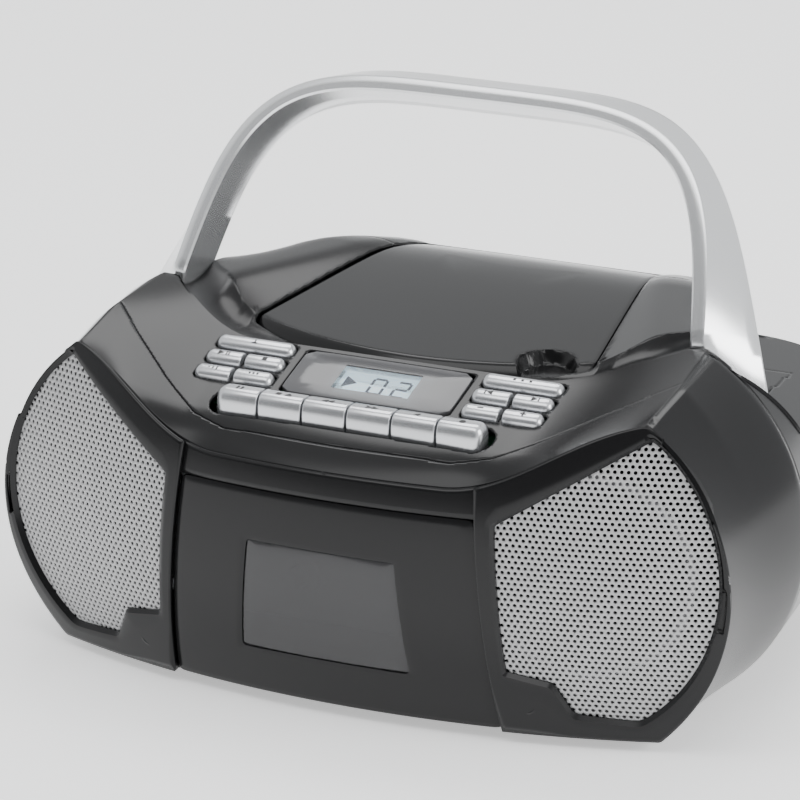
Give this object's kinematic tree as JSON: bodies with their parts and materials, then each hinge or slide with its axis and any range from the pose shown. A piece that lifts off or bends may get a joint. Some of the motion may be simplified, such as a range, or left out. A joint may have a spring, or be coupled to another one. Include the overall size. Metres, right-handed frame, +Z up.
{
  "type": "cassette player",
  "caption": "Portable stereo with a front cassette deck, top disc player, radio, speakers behind grilles and a folding carry handle.",
  "frame": {"origin": "on the floor under the middle of the body, at the bottom centre of the bounding box", "axes": "+X to the right of someone facing the front, -Y out of the front, +Z up"},
  "size_m": [0.305, 0.2198, 0.209],
  "materials": {
    "black_gloss": "polished black moulded plastic",
    "black_matte": "matte black moulded plastic",
    "silver_plastic": "silver painted plastic, satin gloss",
    "key_silver": "satin silver painted plastic",
    "grille_metal": "silver-grey painted perforated sheet",
    "smoked_lens": "smoked clear plastic",
    "smoked_window": "smoked clear plastic",
    "lcd_glass": "pale blue liquid crystal panel",
    "steel": "plain steel",
    "chrome": "polished plating",
    "brass": "turned brass",
    "board_green": "printed circuit board",
    "rubber": "moulded rubber",
    "paper_cone": "pressed paper cone with a rubber surround",
    "grey_plastic": "grey moulded plastic"
  },
  "bodies": {
    "cabinet": {"front_cabinet": "black_gloss", "rear_cabinet": "black_gloss", "top_cabinet": "black_gloss", "left_grille": "grille_metal", "right_grille": "grille_metal", "cd_tray": "black_matte", "cd_motor": "steel", "sled_rails": "steel", "key_shaft": "steel", "display_lens": "smoked_lens", "lcd_module": "lcd_glass", "control_board": "board_green", "left_speaker_frame": "steel", "left_speaker_cone": "paper_cone", "right_speaker_frame": "steel", "right_speaker_cone": "paper_cone", "deck_chassis": "steel", "deck_motor": "steel", "drive_belt": "rubber", "transformer": "steel", "main_board": "board_green", "battery_contacts": "steel", "headphone_jack": "black_matte", "aux_jack": "black_matte", "ac_inlet": "black_matte", "feet": "rubber", "screws": "steel"},
    "door": {"cassette_door": "black_gloss", "door_window": "smoked_window", "cassette_holder": "black_matte"},
    "lid": {"cd_lid": "black_gloss"},
    "handle": {"handle": "silver_plastic"},
    "disc_hub": {"cd_hub": "black_matte"},
    "sled": {"laser_sled": "grey_plastic"},
    "pause_key": {"pause_key": "key_silver"},
    "stop_eject_key": {"stop_eject_key": "key_silver"},
    "rewind_key": {"rewind_key": "key_silver"},
    "fast_forward_key": {"fast_forward_key": "key_silver"},
    "play_key": {"play_key": "key_silver"},
    "record_key": {"record_key": "key_silver"},
    "power_button": {"power_button": "key_silver"},
    "play_pause_button": {"play_pause_button": "key_silver"},
    "stop_button": {"stop_button": "key_silver"},
    "program_button": {"program_button": "key_silver"},
    "mode_button": {"mode_button": "key_silver"},
    "function_button": {"function_button": "key_silver"},
    "skip_back_button": {"skip_back_button": "key_silver"},
    "skip_forward_button": {"skip_forward_button": "key_silver"},
    "volume_down_button": {"volume_down_button": "key_silver"},
    "volume_up_button": {"volume_up_button": "key_silver"},
    "supply_reel": {"supply_spindle": "grey_plastic"},
    "take_up_reel": {"take_up_spindle": "grey_plastic"},
    "capstan": {"capstan": "chrome"},
    "motor_pulley": {"motor_pulley": "brass"},
    "head_plate": {"head_plate": "steel"},
    "pinch_roller": {"pinch_roller": "rubber"},
    "battery_door": {"battery_door": "black_matte"},
    "antenna_base": {"antenna_base": "chrome"},
    "antenna_mast": {"antenna_tube": "chrome"},
    "antenna_tip": {"antenna_rod": "chrome"}
  },
  "joints": [
    {"name": "door_hinge", "type": "hinge", "parent": "cabinet", "child": "door", "pos_m": [0, -0.091, 0.009], "axis": [1, 0, 0], "range_deg": [0, 30]},
    {"name": "lid_hinge", "type": "hinge", "parent": "cabinet", "child": "lid", "pos_m": [0, 0.088, 0.1176], "axis": [-1, 0, 0], "range_deg": [0, 46]},
    {"name": "handle_pivot", "type": "hinge", "parent": "cabinet", "child": "handle", "pos_m": [0, -0.006, 0.11], "axis": [1, 0, 0], "range_deg": [-50, 0]},
    {"name": "disc_spin", "type": "hinge", "parent": "cabinet", "child": "disc_hub", "pos_m": [0, 0.024, 0.1], "axis": [0, 0, 1], "continuous": true},
    {"name": "sled_slide", "type": "slide", "parent": "cabinet", "child": "sled", "axis": [1, 0, 0], "range_m": [0, 0.026]},
    {"name": "pause_key_press", "type": "hinge", "parent": "cabinet", "child": "pause_key", "pos_m": [-0.04475, -0.06, 0.0965], "axis": [1, 0, 0], "range_deg": [0, 6], "stiffness_Nm_per_rad": 2, "springref_deg": -2.86},
    {"name": "stop_eject_key_press", "type": "hinge", "parent": "cabinet", "child": "stop_eject_key", "pos_m": [-0.02685, -0.06, 0.0965], "axis": [1, 0, 0], "range_deg": [0, 6], "stiffness_Nm_per_rad": 2, "springref_deg": -2.86},
    {"name": "rewind_key_press", "type": "hinge", "parent": "cabinet", "child": "rewind_key", "pos_m": [-0.00895, -0.06, 0.0965], "axis": [1, 0, 0], "range_deg": [0, 6], "stiffness_Nm_per_rad": 2, "springref_deg": -2.86},
    {"name": "fast_forward_key_press", "type": "hinge", "parent": "cabinet", "child": "fast_forward_key", "pos_m": [0.00895, -0.06, 0.0965], "axis": [1, 0, 0], "range_deg": [0, 6], "stiffness_Nm_per_rad": 2, "springref_deg": -2.86},
    {"name": "play_key_press", "type": "hinge", "parent": "cabinet", "child": "play_key", "pos_m": [0.02685, -0.06, 0.0965], "axis": [1, 0, 0], "range_deg": [0, 6], "stiffness_Nm_per_rad": 2, "springref_deg": -2.86},
    {"name": "record_key_press", "type": "hinge", "parent": "cabinet", "child": "record_key", "pos_m": [0.04475, -0.06, 0.0965], "axis": [1, 0, 0], "range_deg": [0, 6], "stiffness_Nm_per_rad": 2, "springref_deg": -2.86},
    {"name": "power_button_press", "type": "slide", "parent": "cabinet", "child": "power_button", "axis": [0, 0.3213, -0.947], "range_m": [0, 0.001], "stiffness_N_per_m": 800, "springref_m": -0.0005},
    {"name": "play_pause_button_press", "type": "slide", "parent": "cabinet", "child": "play_pause_button", "axis": [0, 0.3213, -0.947], "range_m": [0, 0.001], "stiffness_N_per_m": 800, "springref_m": -0.0005},
    {"name": "stop_button_press", "type": "slide", "parent": "cabinet", "child": "stop_button", "axis": [0, 0.3213, -0.947], "range_m": [0, 0.001], "stiffness_N_per_m": 800, "springref_m": -0.0005},
    {"name": "program_button_press", "type": "slide", "parent": "cabinet", "child": "program_button", "axis": [0, 0.3213, -0.947], "range_m": [0, 0.001], "stiffness_N_per_m": 800, "springref_m": -0.0005},
    {"name": "mode_button_press", "type": "slide", "parent": "cabinet", "child": "mode_button", "axis": [0, 0.3213, -0.947], "range_m": [0, 0.001], "stiffness_N_per_m": 800, "springref_m": -0.0005},
    {"name": "function_button_press", "type": "slide", "parent": "cabinet", "child": "function_button", "axis": [0, 0.3213, -0.947], "range_m": [0, 0.001], "stiffness_N_per_m": 800, "springref_m": -0.0005},
    {"name": "skip_back_button_press", "type": "slide", "parent": "cabinet", "child": "skip_back_button", "axis": [0, 0.3213, -0.947], "range_m": [0, 0.001], "stiffness_N_per_m": 800, "springref_m": -0.0005},
    {"name": "skip_forward_button_press", "type": "slide", "parent": "cabinet", "child": "skip_forward_button", "axis": [0, 0.3213, -0.947], "range_m": [0, 0.001], "stiffness_N_per_m": 800, "springref_m": -0.0005},
    {"name": "volume_down_button_press", "type": "slide", "parent": "cabinet", "child": "volume_down_button", "axis": [0, 0.3213, -0.947], "range_m": [0, 0.001], "stiffness_N_per_m": 800, "springref_m": -0.0005},
    {"name": "volume_up_button_press", "type": "slide", "parent": "cabinet", "child": "volume_up_button", "axis": [0, 0.3213, -0.947], "range_m": [0, 0.001], "stiffness_N_per_m": 800, "springref_m": -0.0005},
    {"name": "supply_spin", "type": "hinge", "parent": "cabinet", "child": "supply_reel", "pos_m": [-0.02125, -0.085, 0.0455], "axis": [0, 1, 0], "continuous": true},
    {"name": "take_up_spin", "type": "hinge", "parent": "cabinet", "child": "take_up_reel", "pos_m": [0.02125, -0.085, 0.0455], "axis": [0, 1, 0], "continuous": true},
    {"name": "capstan_spin", "type": "hinge", "parent": "cabinet", "child": "capstan", "pos_m": [0.024, -0.075, 0.074], "axis": [0, 1, 0], "continuous": true},
    {"name": "motor_spin", "type": "hinge", "parent": "cabinet", "child": "motor_pulley", "pos_m": [-0.032, -0.075, 0.034], "axis": [0, 1, 0], "continuous": true},
    {"name": "head_slide", "type": "slide", "parent": "cabinet", "child": "head_plate", "axis": [0, 0, -1], "range_m": [0, 0.0053]},
    {"name": "pinch_spin", "type": "hinge", "parent": "head_plate", "child": "pinch_roller", "pos_m": [0.024, -0.087, 0.087], "axis": [0, 1, 0], "continuous": true},
    {"name": "battery_door_tilt", "type": "hinge", "parent": "cabinet", "child": "battery_door", "pos_m": [0, 0.10875, 0.01325], "axis": [-1, 0, 0], "range_deg": [0, 60]},
    {"name": "antenna_swivel", "type": "hinge", "parent": "cabinet", "child": "antenna_base", "pos_m": [0.068, 0.102, 0.104], "axis": [0, 0, 1], "range_deg": [-150, 0]},
    {"name": "antenna_tilt", "type": "hinge", "parent": "antenna_base", "child": "antenna_mast", "pos_m": [0.068, 0.102, 0.113], "axis": [0, 1, 0], "range_deg": [0, 90]},
    {"name": "antenna_pull", "type": "slide", "parent": "antenna_mast", "child": "antenna_tip", "axis": [-1, 0, 0], "range_m": [0, 0.12]}
  ],
  "couplings": [
    {"joint": "head_slide", "follows": "play_key_press", "m_per_rad": 0.05056},
    {"joint": "motor_spin", "follows": "capstan_spin", "ratio": 4}
  ]
}
